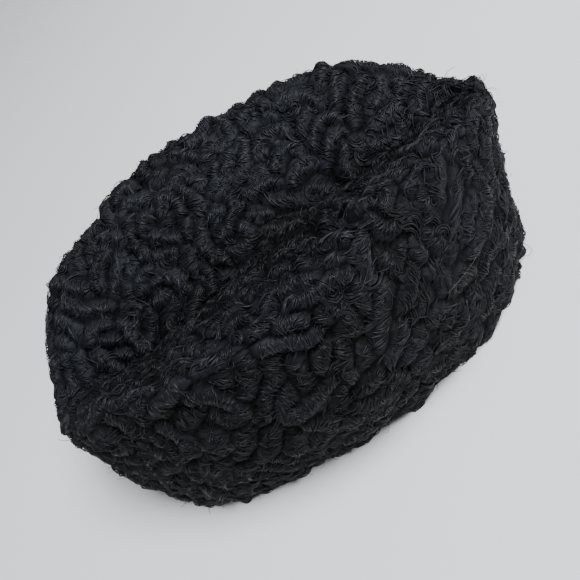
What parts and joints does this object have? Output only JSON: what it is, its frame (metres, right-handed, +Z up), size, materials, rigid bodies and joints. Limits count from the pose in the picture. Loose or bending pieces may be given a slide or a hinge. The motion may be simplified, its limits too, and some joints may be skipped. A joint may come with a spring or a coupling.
{
  "type": "folded karakul cap of persian lamb",
  "caption": "Black Persian lamb cap with long side panels and a crown folded into a lengthwise crease, open below for the head.",
  "frame": {"origin": "on the brim plane that the cap rests on, under the middle of the cap's bounding box", "axes": "+X along the cap's length towards the front, +Y to the wearer's left, +Z up through the crown"},
  "size_m": [0.2554, 0.181, 0.102],
  "materials": {
    "karakul": "glossy black curled lamb wool on the pelt"
  },
  "bodies": {
    "root": {"left_side_panel": "karakul", "right_side_panel": "karakul", "crown_panel": "karakul"}
  },
  "joints": []
}
